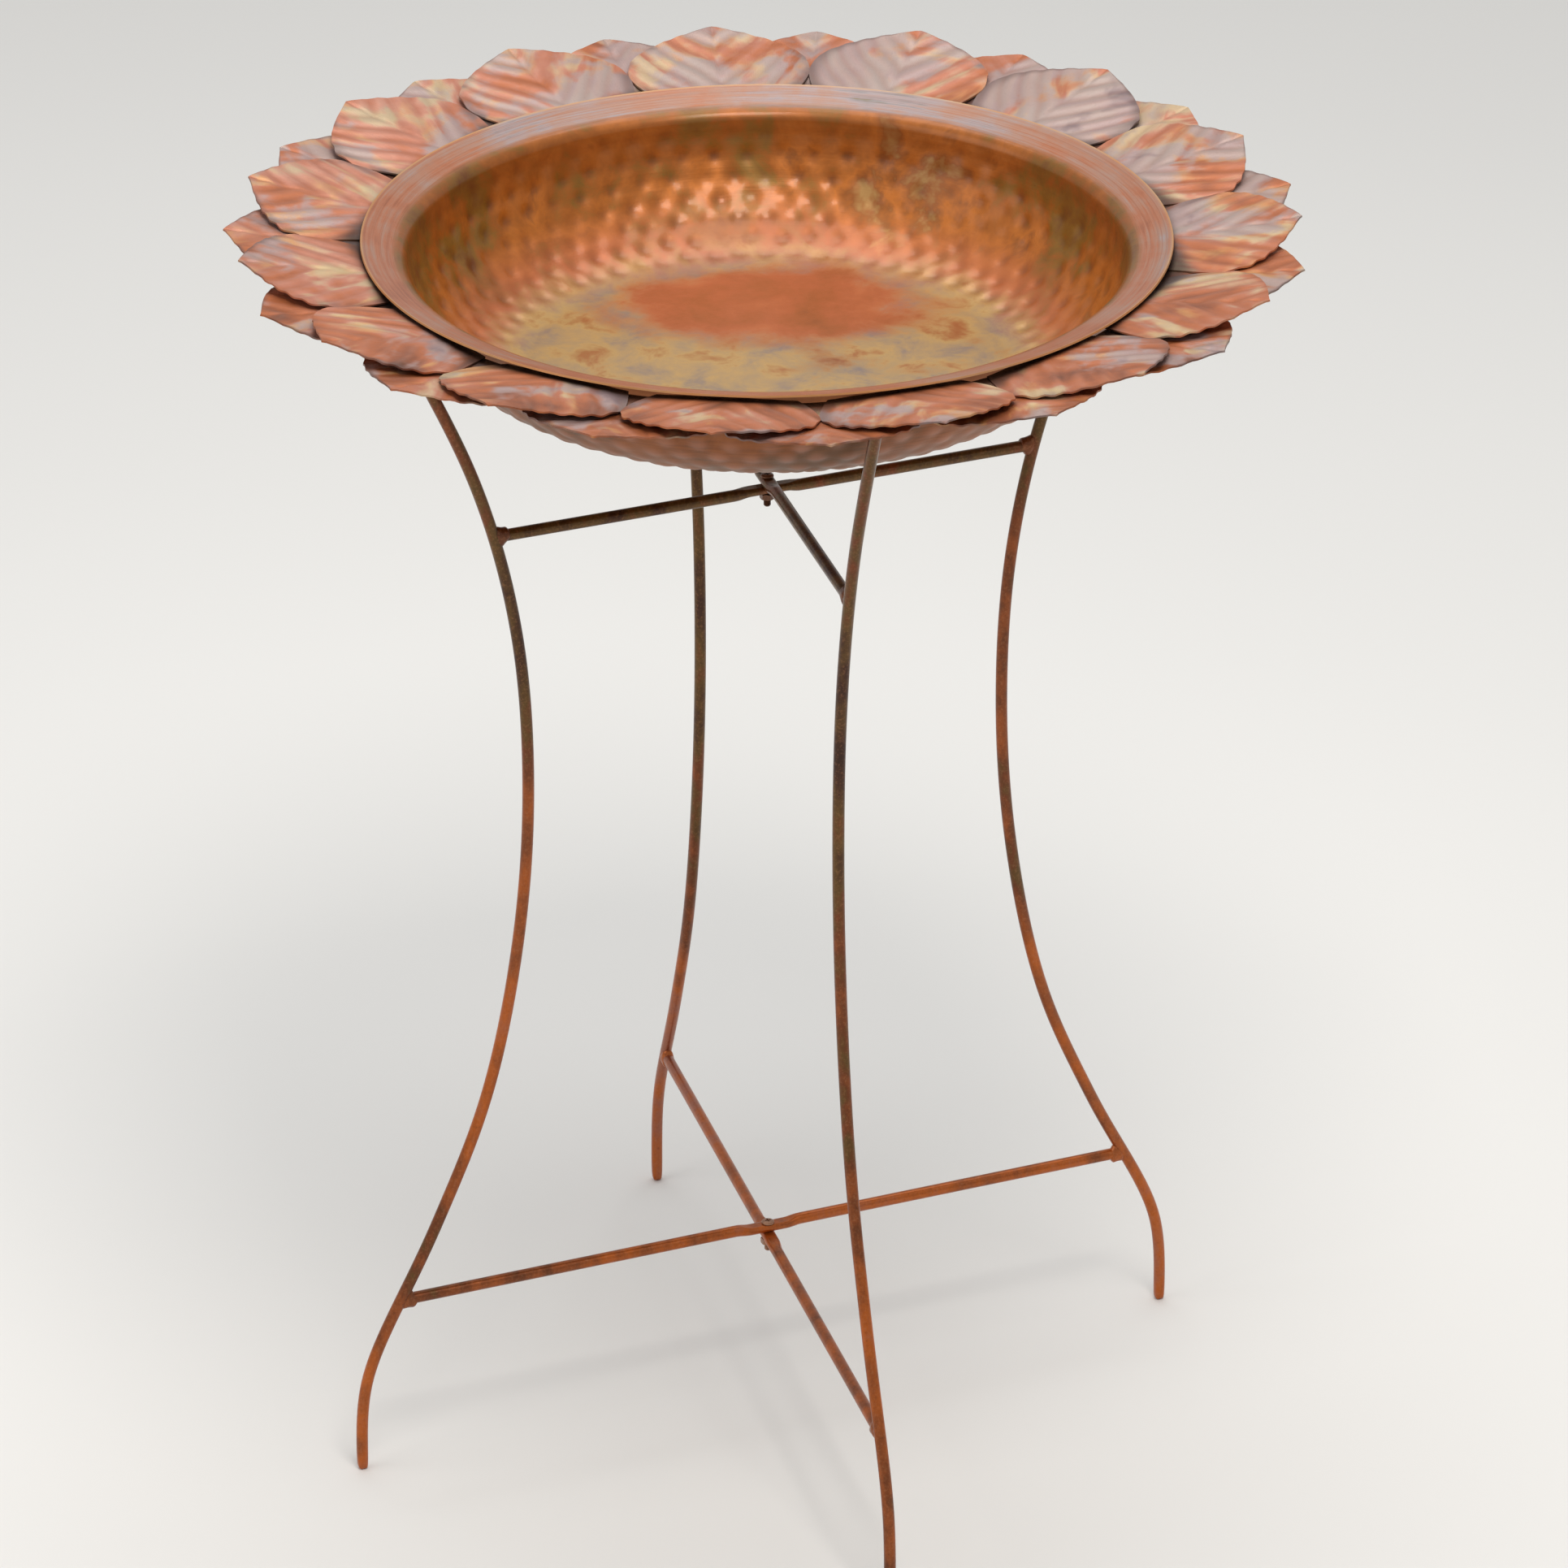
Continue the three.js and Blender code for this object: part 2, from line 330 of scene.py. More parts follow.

# %% [markdown]
# ## Petal copper
# The petals are copper sheet coloured with a torch: bands of salmon, gold, straw and lavender run
# out along each leaf. The hollows between the folds are painted browner, a painted shade, and the
# crests lighter, a painted highlight. The bands come from a noise that is squeezed across the leaf
# and stretched along it. It is read from the leaf's own map, so that it follows the folds, and moved
# on for each leaf by the leaf's place.

# %% Petal copper
def petal_copper():
    finish = Finish("petal_copper")
    here, x, y, z = finish.place()
    radius = (x * x + y * y) ** 0.5
    along = finish.node("ShaderNodeAttribute", {"attribute_name": "leaf"}, output="Vector")
    leaf = finish.node("ShaderNodeSeparateXYZ", None, {"Vector": along}).socket.node
    length, across, number = (Wire(finish, leaf.outputs[axis]) for axis in ("X", "Y", "Z"))
    fold = finish.node("ShaderNodeAttribute", {"attribute_name": "fold"}, output="Fac")

    streak = finish.vector(length * 0.55, across * 1.1, number * 3.7)
    bands = finish.noise(streak, 1.5, 3.0, 0.5, 0.4)
    patches = finish.noise(here, 24.0, 3.0, 0.5, 0.5)
    smoke = finish.noise(finish.vector(x, y, number), 19.0, 4.0, 0.55, 0.4)
    out, right = across_view(x, y)
    # Painted light: leaves on the far side, away from the camera, are painted paler and greyer, and
    # leaves on the left are painted paler.
    far = out.between(-0.2, 0.22)
    left = (right * -1).between(0.06, 0.26)
    warm = (bands * 0.45 + patches * 0.55 - 0.5) * 2.3 + 0.42 + far * 0.2 + left * 0.1
    colour = finish.ramp(
        warm, (0.02, BROWN), (0.2, RUST), (0.42, ORANGE), (0.62, SALMON), (0.8, PALE_SALMON), (1.0, MAUVE)
    )
    hot_side = (x * 0.8 + y * 0.6).between(-0.12, 0.24) * 0.09
    gilt = (bands + hot_side).between(0.53, 0.65) * smoke.between(0.36, 0.5)
    colour = finish.mix(gilt * 0.65, colour, GOLD)
    pale = (patches * 0.6 + bands * 0.4 + hot_side * 0.6).between(0.55, 0.64)
    colour = finish.mix(pale * 0.6, colour, STRAW)
    grey = (smoke * 0.75 + bands * 0.25 + far * 0.07 - left * 0.04).between(0.51, 0.6)
    colour = finish.mix(grey * 0.85, colour, LAVENDER)
    soot = (smoke * 0.6 + patches * 0.4).between(0.585, 0.66)
    colour = finish.mix(soot * 0.75, colour, DARK_LAVENDER)
    # Painted shade and highlight: the hollows between the folds are painted browner and the crests
    # lighter, as light falls on the folds.
    painted_hollow_shade = (1 - fold) ** 2
    colour = finish.mix(painted_hollow_shade * 0.25, colour, RUST)
    painted_crest_highlight = fold ** 3 * finish.noise(here, 60.0, 3.0)
    colour = finish.mix(painted_crest_highlight * 0.25, colour, PALE_SALMON)
    edge = finish.node("ShaderNodeAttribute", {"attribute_name": "edge"}, output="Fac")
    colour = finish.mix(edge * smoke.between(0.42, 0.56) * 0.6, colour, paint(90, 68, 62))
    speckle = finish.noise(here, 900.0, 2.0, 0.7)
    colour = finish.mix(speckle.between(0.58, 0.72) * 0.2, colour, DARK_LAVENDER)
    # Painted shade: the lower leaves are darkened where they run under the upper row near the root, and
    # every leaf is darkened next to the flange's edge.
    painted_shade_under_petals = (1 - z.between(0.6806, 0.6824)) * (1 - radius.between(0.213, 0.231))
    edge_shade = 1 - radius.between(0.2085, 0.2125)
    colour = finish.mix(painted_shade_under_petals * 0.85 + edge_shade * 0.15, colour, paint(46, 26, 16))

    rough = 0.4 + patches * 0.16 - painted_crest_highlight * 0.08
    grain = finish.noise(finish.vector(x / radius * 60, y / radius * 60, radius * 12), 6.0, 4.0)
    dimples = finish.noise(here, 120.0, 3.0)
    relief = finish.bump(grain * 0.4 + dimples, 0.0005, 0.5)
    return finish.done(Base_Color=colour, Metallic=0.4, Roughness=rough, Normal=relief)


PETAL_COPPER = petal_copper()

# %% [markdown]
# ## Basin copper
# The basin went through more fire than the leaves. Its flange is brushed to a pinkish grey, the
# wall under the shoulder is orange-brown, and the floor is straw and olive round a salmon patch that
# the flame missed. Height and radius tell these zones apart, and noise breaks their borders. The brush
# marks run round the basin, so they are read from the direction and the radius, and close up.

# %% Basin copper
def basin_zones(finish, x, y, z):
    """The radius, and a noise squeezed into rings like the marks of a turning basin."""
    radius = (x * x + y * y + 1e-8) ** 0.5
    ring = finish.vector(x / radius * 2.5, y / radius * 2.5, (radius + z) * 260)
    return radius, finish.noise(ring, 1.6, 5.0, 0.65)


def basin_inside():
    finish = Finish("basin_copper_inside")
    here, x, y, z = finish.place()
    radius, brushed = basin_zones(finish, x, y, z)
    clouds = finish.noise(here, 11.0, 5.0, 0.6, 0.3)
    wisps = finish.noise(here, 34.0, 4.0, 0.65, 0.3)
    dent = finish.node("ShaderNodeAttribute", {"attribute_name": "dent"}, output="Fac")

    # The term x * 0.38 + y * 0.92 runs away from the camera: it paints the flange greyer towards its far
    # side, a painted reflection of the pale room.
    flange = finish.ramp(
        (clouds * 0.65 + brushed * 0.35 - 0.5) * 3.0 + 0.46 + (x * 0.38 + y * 0.92) * 1.0,
        (0.0, RUST),
        (0.24, paint(164, 98, 64)),
        (0.42, paint(160, 112, 88)),
        (0.58, paint(156, 122, 106)),
        (0.74, paint(150, 134, 132)),
        (0.88, paint(128, 120, 118)),
        (1.0, OLIVE),
    )
    wall = finish.ramp(
        (clouds * 0.5 + wisps * 0.5 - 0.5) * 3.0 + 0.5,
        (0.0, paint(106, 58, 10)),
        (0.28, paint(128, 88, 16)),
        (0.46, paint(152, 84, 8)),
        (0.66, paint(174, 98, 20)),
        (0.84, paint(138, 76, 12)),
        (1.0, paint(156, 116, 60)),
    )
    floor = finish.ramp(
        (clouds * 0.65 + wisps * 0.35 - 0.5) * 2.8 + 0.5,
        (0.0, paint(134, 76, 36)),
        (0.26, paint(156, 86, 40)),
        (0.5, paint(170, 92, 50)),
        (0.74, paint(182, 104, 60)),
        (1.0, GOLD),
    )
    out, right = across_view(x, y)
    patch = (((out - 0.08) / 0.05) ** 2 + (right / 0.088) ** 2 + 1e-6) ** 0.5
    spared = 1 - (patch + (clouds - 0.5) * 1.6 + (wisps - 0.5) * 0.8).between(0.75, 1.3)
    halo = (1 - spared) * (1 - (radius + (wisps - 0.5) * 0.05).between(0.128, 0.158))
    straw = finish.ramp(
        wisps,
        (0.3, paint(156, 104, 52)),
        (0.43, paint(180, 148, 92)),
        (0.55, paint(162, 138, 100)),
        (0.68, paint(128, 118, 110)),
    )
    floor = finish.mix(halo * (clouds * 0.6 + wisps * 0.4).between(0.32, 0.47) * 0.92, floor, straw)
    height = z + (clouds - 0.5) * 0.02
    colour = finish.mix(height.between(0.613, 0.64), floor, wall)
    shade = finish.mix(height.between(0.648, 0.67), colour, finish.mix(0.3, wall, BROWN))
    lathe_lines = finish.noise(finish.vector(x * 3, y * 3, radius * 1500), 1.0, 3.0, 0.7)
    flange = finish.mix(lathe_lines.between(0.48, 0.66) * 0.45, flange, RUST)
    flange = finish.mix(radius.between(0.2075, 0.2092) * 0.5, flange, GOLD)
    on_flange = (radius + (brushed - 0.5) * 0.003).between(0.1895, 0.1945)
    colour = finish.mix(on_flange, shade, flange)
    # Painted shade: the dent hollows are painted darker, more so in the upper rows.
    deep = dent * dent * (z.between(0.625, 0.66) * 0.45 + 0.35)
    colour = finish.mix(deep, colour, paint(84, 42, 16))

    rough = 0.34 + clouds * 0.12 + brushed * 0.08
    fine = finish.noise(here, 420.0, 2.0)
    relief = finish.bump(brushed * 0.7 + fine * 0.3, 0.00022, 0.55)
    return finish.done(
        Base_Color=colour, Metallic=0.42, Roughness=rough, Normal=relief, Coat_Weight=0.22,
        Coat_Roughness=0.16,
    )


def basin_outside():
    finish = Finish("basin_copper_outside")
    here, x, y, z = finish.place()
    radius, brushed = basin_zones(finish, x, y, z)
    clouds = finish.noise(here, 13.0, 5.0, 0.6, 0.8)
    dent = finish.node("ShaderNodeAttribute", {"attribute_name": "dent"}, output="Fac")
    colour = finish.ramp(
        (clouds * 0.7 + brushed * 0.3 - 0.5) * 2.4 + 0.5,
        (0.0, BROWN),
        (0.3, paint(98, 58, 18)),
        (0.5, paint(126, 68, 22)),
        (0.72, paint(142, 80, 32)),
        (1.0, paint(150, 100, 68)),
    )
    low = 1 - (z + (clouds - 0.5) * 0.03).between(0.612, 0.645)
    colour = finish.mix(low * 0.4, colour, paint(132, 104, 78))
    # Painted highlight: the bumps that the dents leave outside are painted paler.
    colour = finish.mix(dent * 0.45, colour, PALE_SALMON)
    rough = 0.36 + clouds * 0.16
    relief = finish.bump(brushed * 0.6 + finish.noise(here, 420.0, 2.0) * 0.4, 0.00025, 0.6)
    return finish.done(Base_Color=colour, Metallic=0.45, Roughness=rough, Normal=relief)


BASIN_INSIDE = basin_inside()
BASIN_OUTSIDE = basin_outside()

# %% [markdown]
# ## Stand and hardware finishes
# The rod is painted a coppery brown and then dabbed with darker and brighter tones that change
# slowly along it, with bright copper at the feet. Towards the basin it is darker, a painted shade
# under the basin. The paint has a fine orange peel.
# Bolts and nuts carry a duller shade of the same paint.

# %% Rod paint and hardware
def rod_paint(name, tints, peel):
    finish = Finish(name)
    here, x, y, z = finish.place()
    slow = finish.noise(here, 5.5, 2.0, 0.5)
    mottle = finish.noise(finish.vector(x, y, z * 0.5), 80.0, 4.0, 0.6)
    fleck = finish.noise(here, 620.0, 3.0, 0.75)
    # Painted shade: the paint darkens with height towards the basin, where its shade falls.
    painted_shade_under_basin = z.between(0.1, 0.5) * 0.36
    colour = finish.ramp((slow - 0.5) * 1.4 + (mottle - 0.5) * 0.8 + 0.74 - painted_shade_under_basin, *tints)
    colour = finish.mix(fleck.between(0.56, 0.7) * 0.35, colour, paint(58, 34, 20))
    colour = finish.mix(fleck.between(0.5, 0.34) * 0.2, colour, paint(178, 124, 84))
    rough = 0.24 + mottle * 0.14
    relief = finish.bump(finish.noise(here, 330.0, 3.0) + fleck * 0.3, peel, 0.6)
    return finish.done(
        Base_Color=colour, Metallic=0.6, Roughness=rough, Normal=relief, Coat_Weight=0.12,
        Coat_Roughness=0.2,
    )


ROD_TINTS = (
    (0.0, paint(42, 22, 13)),
    (0.22, paint(66, 36, 18)),
    (0.38, paint(96, 68, 28)),
    (0.5, paint(108, 56, 24)),
    (0.64, paint(144, 74, 30)),
    (0.8, paint(176, 88, 24)),
    (1.0, paint(158, 92, 66)),
)
WELD_TINTS = ((0.1, paint(54, 30, 18)), (0.45, paint(112, 60, 28)), (0.8, paint(168, 86, 32)))
STEEL_TINTS = ((0.1, paint(58, 38, 28)), (0.45, paint(104, 66, 44)), (0.8, paint(160, 118, 92)))
ROD_PAINT = rod_paint("rod_paint", ROD_TINTS, 0.00014)
WELD_PAINT = rod_paint("weld_paint", WELD_TINTS, 0.0005)
BOLT_PAINT = rod_paint("bolt_paint", STEEL_TINTS, 0.0001)

# %% [markdown]
# ## The basin
# A copper basin is spun on a lathe, then dented from inside with a ball hammer, row by row. A
# lathe's profile and the Spin operator make the same shape here. The profile is one face of the
# sheet: floor, round wall, shoulder and flange. The dents are pressed into that face, and only then
# does Solidify give the sheet its second face, so every dent shows as a bump outside too.

# %% Basin profile
_, basin_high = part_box("basin")
RIM_RADIUS = basin_high.x
RIM_HEIGHT = basin_high.z
SHEET = 1.0 * MM
FLOOR_RADIUS = 120 * MM
DENT_DEPTH = 1.25 * MM
WALL_RADIUS = 188 * MM - DENT_DEPTH
BOWL_RADIUS = WALL_RADIUS - FLOOR_RADIUS
BOWL_CENTRE = RIM_HEIGHT - 8 * MM
SHOULDER_RADIUS = 6.5 * MM
SHOULDER_DROP = 5.2 * MM  # below the centre of the bowl's round wall
SHOULDER = Vector((WALL_RADIUS + SHOULDER_RADIUS, 0, BOWL_CENTRE - SHOULDER_DROP))
SHOULDER_TURN = math.radians(79)
WALL_STEPS = 44
SHOULDER_STEPS = 8


def basin_profile():
    """Points of the sheet's outer face, from the axis out to the flange's edge."""
    floor_height = BOWL_CENTRE - BOWL_RADIUS
    points = [Vector((share * FLOOR_RADIUS, 0, floor_height)) for share in (0, 0.2, 0.5, 0.75, 0.9)]
    bowl_turn = math.acos((BOWL_CENTRE - SHOULDER.z) / BOWL_RADIUS)
    for step in range(WALL_STEPS):
        angle = step / (WALL_STEPS - 0.5) * bowl_turn
        swing = Vector((math.sin(angle), 0, -math.cos(angle)))
        points.append(Vector((FLOOR_RADIUS, 0, BOWL_CENTRE)) + BOWL_RADIUS * swing)
    for step in range(SHOULDER_STEPS + 1):
        share = step / SHOULDER_STEPS
        angle = share * SHOULDER_TURN
        swing = Vector((-math.cos(angle), 0, math.sin(angle)))
        points.append(SHOULDER + SHOULDER_RADIUS * swing)
    inner = points[-1]
    edge = Vector((RIM_RADIUS - 0.6 * MM, 0, RIM_HEIGHT - SHEET - 0.1 * MM))
    points += [inner.lerp(edge, share) for share in (0.2, 0.5, 0.8, 1.0)]
    return points


profile = basin_profile()
print("profile of", len(profile), "points, floor at", round(profile[0].z, 4))

# %% Spin the basin
BASIN_STEPS = 624

basin = turn_on_lathe(profile, BASIN_STEPS)
floor_face = min(basin.data.polygons, key=lambda face: face.center.xy.length)
if floor_face.normal.z > 0:
    open_up(basin)
    bpy.ops.mesh.select_all(action="SELECT")
    bpy.ops.mesh.flip_normals()
    close_up(basin)
print("basin sheet has", len(basin.data.polygons), "faces")

# %% [markdown]
# The hammer marks sit in staggered rows down the wall, about a finger's width apart. No two blows
# are alike, so a seeded choice moves each one a little and makes it deeper or shallower.

# %% Hammer the wall
DENTS_ROUND = 64
DENT_ROWS = 7
FIRST_ROW = 11 * MM  # below the top of the wall, along the sheet
ROW_STEP = 12 * MM
DENT_REACH = 4.5 * MM

blows = random.Random(7)
hammer = [
    [
        (blows.uniform(-1.4, 1.4) * MM, blows.uniform(-1.2, 1.2) * MM, blows.uniform(0.5, 1.0))
        for _ in range(DENTS_ROUND)
    ]
    for _ in range(DENT_ROWS)
]


def dent_share(x, y, z):
    """How much of a full blow a point on the wall takes."""
    radius = math.hypot(x, y)
    if radius < FLOOR_RADIUS or z > SHOULDER.z:
        return 0.0
    down = BOWL_RADIUS * math.atan2(BOWL_CENTRE - z, radius - FLOOR_RADIUS)
    nearest = round((down - FIRST_ROW) / ROW_STEP)
    turn = math.atan2(y, x) / (2 * math.pi) * DENTS_ROUND
    deepest = 0.0
    for row in (nearest - 1, nearest, nearest + 1):
        if not 0 <= row < DENT_ROWS:
            continue
        stagger = row % 2 / 2
        column = round(turn - stagger)
        pitch = 2 * math.pi * radius / DENTS_ROUND
        side, fall, force = hammer[row][column % DENTS_ROUND]
        gap_round = (turn - stagger - column) * pitch - side
        gap_down = down - FIRST_ROW - row * ROW_STEP - fall
        distance = math.hypot(gap_round, gap_down) / DENT_REACH
        first = 0.55 if row == 0 else 1.0
        deepest = max(deepest, force * first * math.exp(-(distance**2.8)))
    return deepest


press(basin, "dent", dent_share, DENT_DEPTH)
print("hammered", DENT_ROWS * DENTS_ROUND, "dents,", DENT_DEPTH / MM, "mm deep")

# %% [markdown]
# A thin floor never stays quite flat, and the line where it meets the wall is pressed in by the
# stake it was set down on. Both are well under a millimetre, but polished metal shows them.

# %% Set the floor and give the sheet its thickness
FLOOR_WAVE = 0.5 * MM
STAKE_LINE = 121 * MM
STAKE_WIDTH = 2.2 * MM


def floor_wave(x, y, z):
    radius = math.hypot(x, y)
    if radius > 0.175 or z > SHOULDER.z:
        return 0.0
    wander = math.sin(41 * x + 2.0) * math.sin(37 * y + 0.7) + math.sin(83 * x - 60 * y) * 0.4
    ripple = 0.5 + 0.3 * wander
    crease = math.exp(-(((radius - STAKE_LINE) / STAKE_WIDTH) ** 2))
    return (ripple * 0.6 + crease * 0.9) * (1 - smooth_step(radius, 0.13, 0.17))


press(basin, "wave", floor_wave, FLOOR_WAVE, "Z")
basin.data.materials.append(BASIN_OUTSIDE)
basin.data.materials.append(BASIN_INSIDE)
apply_modifier(
    basin, "SOLIDIFY", thickness=SHEET, offset=-1, use_even_offset=False, use_rim=True,
    material_offset=1, material_offset_rim=1,
)
settle(basin, 60)
hand_over(basin, "basin_bowl", "basin")
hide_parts("basin")
print("basin", [round(v, 4) for v in basin.dimensions], len(basin.data.polygons), "faces")

# %% [markdown]
# ## The petals
# Each petal is a leaf cut from thin sheet and pressed in a die. Its side veins leave the midrib and
# bend towards the tip. One flat grid makes it: every column is drawn in to the leaf's outline, then
# the veins, the camber and the lifted tip are pressed in one after another. Two leaves are made, one
# for each row, and the others are copies of them, each tipped and rolled a little, as hands do.

# %% Read the leaves' places
def bearing(node):
    """The direction of a CAD node round the basin, in radians."""
    points = frame["nodes"][node].data.vertices
    return math.atan2(sum(p.co.y for p in points), sum(p.co.x for p in points))


def leaf_line(node):
    """Root and tip of a CAD petal, in the middle of its sheet, turned to lie over the X axis."""
    angle = bearing(node)
    out = Vector((math.cos(angle), math.sin(angle), 0))
    points = [point.co for point in frame["nodes"][node].data.vertices]
    reach = [point.dot(out) for point in points]
    root = [p for p, r in zip(points, reach) if r < min(reach) + 1 * MM]
    tip = [p for p, r in zip(points, reach) if r > max(reach) - 1 * MM]
    ends = []
    for group in (root, tip):
        middle = sum(group, Vector()) / len(group)
        ends.append(Vector((middle.dot(out), 0, middle.z)))
    return ends


for row in ("upper", "lower"):
    print(row, "row", [[round(v / MM, 1) for v in end] for end in leaf_line(f"petal_{row}_01")])

# %% Shape one leaf
LEAF_COLUMNS = 58  # along the leaf
LEAF_LANES = 56  # across it
LEAF_HALF_WIDTH = 49.0 * MM
LEAF_WIDEST = 0.47  # share of the length
ROOT_SHARE = 0.72
VEIN_PITCH = 18.5 * MM
SCALLOP = 0.009  # how far the veins push the edge out, as a share of the width


def vein_number(x, y):
    """Counts the veins from the root: whole numbers lie in the grooves."""
    side = abs(y)
    wander = 1.5 * MM * math.sin(95 * x + 120 * y)
    return (x - 1.15 * side - 5 * side * side + wander) / VEIN_PITCH


def half_width(share):
    if share < LEAF_WIDEST:
        grow = math.sin(share / LEAF_WIDEST * math.pi / 2)
        return LEAF_HALF_WIDTH * (ROOT_SHARE + (1 - ROOT_SHARE) * grow)
    rest = (share - LEAF_WIDEST) / (1 - LEAF_WIDEST)
    return LEAF_HALF_WIDTH * (1 - rest**2.1) * (1 - 0.3 * rest**10)


def flat_leaf(length):
    bpy.ops.object.select_all(action="DESELECT")
    bpy.ops.mesh.primitive_grid_add(
        x_subdivisions=LEAF_COLUMNS, y_subdivisions=LEAF_LANES, size=1, location=(0, 0, 0)
    )
    leaf = bpy.context.object
    open_up(leaf)
    bpy.ops.mesh.select_all(action="SELECT")
    bpy.ops.transform.translate(value=(0.5, 0, 0))
    bpy.ops.transform.resize(value=(length, 1, 1), center_override=(0, 0, 0))
    for column in range(LEAF_COLUMNS + 1):
        share = column / LEAF_COLUMNS
        place = share * length
        width = max(half_width(share), 0.02 * MM)
        choose(leaf, lambda co: abs(co.x - place) < 0.2 * length / LEAF_COLUMNS)
        wave = 1 + SCALLOP * math.cos(2 * math.pi * vein_number(place, width))
        bpy.ops.transform.resize(value=(1, 2 * width * wave, 1), center_override=(0, 0, 0))
    bpy.ops.mesh.select_all(action="SELECT")
    bpy.ops.mesh.remove_doubles(threshold=0.01 * MM)
    return close_up(leaf)


upper_root, upper_tip = leaf_line("petal_upper_01")
flat = flat_leaf((upper_tip - upper_root).length)
print("flat leaf", [round(v / MM, 1) for v in flat.dimensions], "mm,", len(flat.data.polygons), "faces")
bpy.data.objects.remove(flat)

# %% Press the veins, the camber and the tip
UNDER_FLANGE = 10 * MM  # this much of the root stays flat, so that it slides under the flange
VEIN_RISE = 0.8 * MM
CAMBER = 1.2 * MM
TIP_LIFT = 1.0 * MM
MIDRIB_WIDTH = 1.5 * MM
MIDRIB_DEPTH = 0.5 * MM
LEAF_SHEET = 0.9 * MM


def pressed_leaf(length, rise, camber):
    leaf = flat_leaf(length)

    def fold(x, y, z):
        wave = 0.5 - 0.5 * math.cos(2 * math.pi * vein_number(x, y))
        free = smooth_step(x, UNDER_FLANGE, 2.2 * UNDER_FLANGE)
        near_tip = 1 - smooth_step(x, 0.86 * length, length)
        return 0.5 + (wave - 0.5) * (0.15 + 0.85 * free) * near_tip

    def droop(x, y, z):
        return (abs(y) / LEAF_HALF_WIDTH) ** 1.7 * (0.4 + 0.6 * smooth_step(x, 0, 0.4 * length))

    def lift(x, y, z):
        return smooth_step(x, 0.72 * length, 1.04 * length) ** 1.5

    def midrib(x, y, z):
        return math.exp(-((y / MIDRIB_WIDTH) ** 2)) * smooth_step(x, UNDER_FLANGE, 2 * UNDER_FLANGE)

    lanes = [(point.co.x, point.co.y) for point in leaf.data.vertices]
    press(leaf, "fold", fold, rise, "Z")
    press(leaf, "droop", droop, -camber, "Z")
    press(leaf, "lift", lift, TIP_LIFT, "Z")
    press(leaf, "midrib", midrib, -MIDRIB_DEPTH, "Z")
    leaf_map = leaf.data.attributes.new("leaf", "FLOAT_VECTOR", "POINT")
    for index, (x, y) in enumerate(lanes):
        leaf_map.data[index].vector = (vein_number(x, y), y / LEAF_HALF_WIDTH, 0)
    edges = leaf.data.attributes.new("edge", "FLOAT", "POINT")
    for index, (x, y) in enumerate(lanes):
        share_out = abs(y) / max(half_width(min(max(x / length, 0), 1)), MM)
        edges.data[index].value = smooth_step(share_out, 0.8, 1.0)
    open_up(leaf)
    bpy.ops.mesh.select_all(action="SELECT")
    bpy.ops.transform.translate(value=(0, 0, -rise / 2))
    close_up(leaf)
    apply_modifier(leaf, "SOLIDIFY", thickness=LEAF_SHEET, offset=0, use_even_offset=False, use_rim=True)
    return leaf


# %% Lay the two rows round the basin
PETALS = 15
hands = random.Random(23)


def lay_row(row, rise, camber, flatter):
    """Copies one pressed leaf to every CAD petal of a row."""
    root, tip = leaf_line(f"petal_{row}_01")
    pattern = pressed_leaf((tip - root).length - 0.4 * MM, rise, camber)
    tilt = math.atan2(tip.z - root.z, tip.x - root.x) - math.radians(flatter)
    for number in range(1, PETALS + 1):
        node = f"petal_{row}_{number:02d}"
        petal = copy_of(pattern)
        shift = hands.uniform(0, 9)
        for entry in petal.data.attributes["leaf"].data:
            across, along, _ = entry.vector
            entry.vector = (across, along, shift)
        petal.rotation_euler = (
            math.radians(hands.uniform(-1.3, 1.3)),
            -tilt + math.radians(hands.uniform(0.0, 1.3)),
            bearing(node) + math.radians(hands.uniform(-0.35, 0.35)),
        )
        petal.scale.x = hands.uniform(0.975, 1.0)
        petal.location = (root.x * math.cos(bearing(node)), root.x * math.sin(bearing(node)), root.z)
        settle(petal, 50)
        hand_over(petal, f"{node}_leaf", node, PETAL_COPPER)
        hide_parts(node)
    bpy.data.objects.remove(pattern)
    print(row, "row laid at", round(math.degrees(tilt), 1), "degrees")


lay_row("upper", VEIN_RISE, CAMBER, 1.0)
lay_row("lower", 0.8 * VEIN_RISE, 0.8 * CAMBER, 0.8)

# %% [markdown]
# ## The legs
# Each leg is one length of round rod, bent cold. The CAD leg has eight sides. Its copy is merged,
# rounded by a Subdivision Surface, and fattened, because subdividing draws an octagon in. The ends
# are then cut square again by bisecting, and their edges are broken with a small bevel, as a file does.

# %% Bend the legs
ROD_RADIUS = 3.175 * MM
OCTAGON_DRAW = ROD_RADIUS * (1 - (2 + math.cos(math.pi / 4)) / 3)
END_BEVEL = 0.45 * MM
FOOT_TRIM = 0.1 * MM
TOP_TRIM = 1.2 * MM
TOP_RISE = 2.6  # how steeply a leg's top leans out: rise over run


def cad_copy(node):
    """A merged copy of a CAD node, free of its body."""
    alone(frame["nodes"][node])
    bpy.ops.object.duplicate(linked=False)
    piece = bpy.context.object
    bpy.ops.object.parent_clear(type="CLEAR_KEEP_TRANSFORM")
    for key in [key for key in piece.keys() if key.startswith("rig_")]:
        del piece[key]
    open_up(piece)
    bpy.ops.mesh.select_all(action="SELECT")
    bpy.ops.mesh.remove_doubles(threshold=0.02 * MM)
    bpy.ops.mesh.tris_convert_to_quads()
    return close_up(piece)


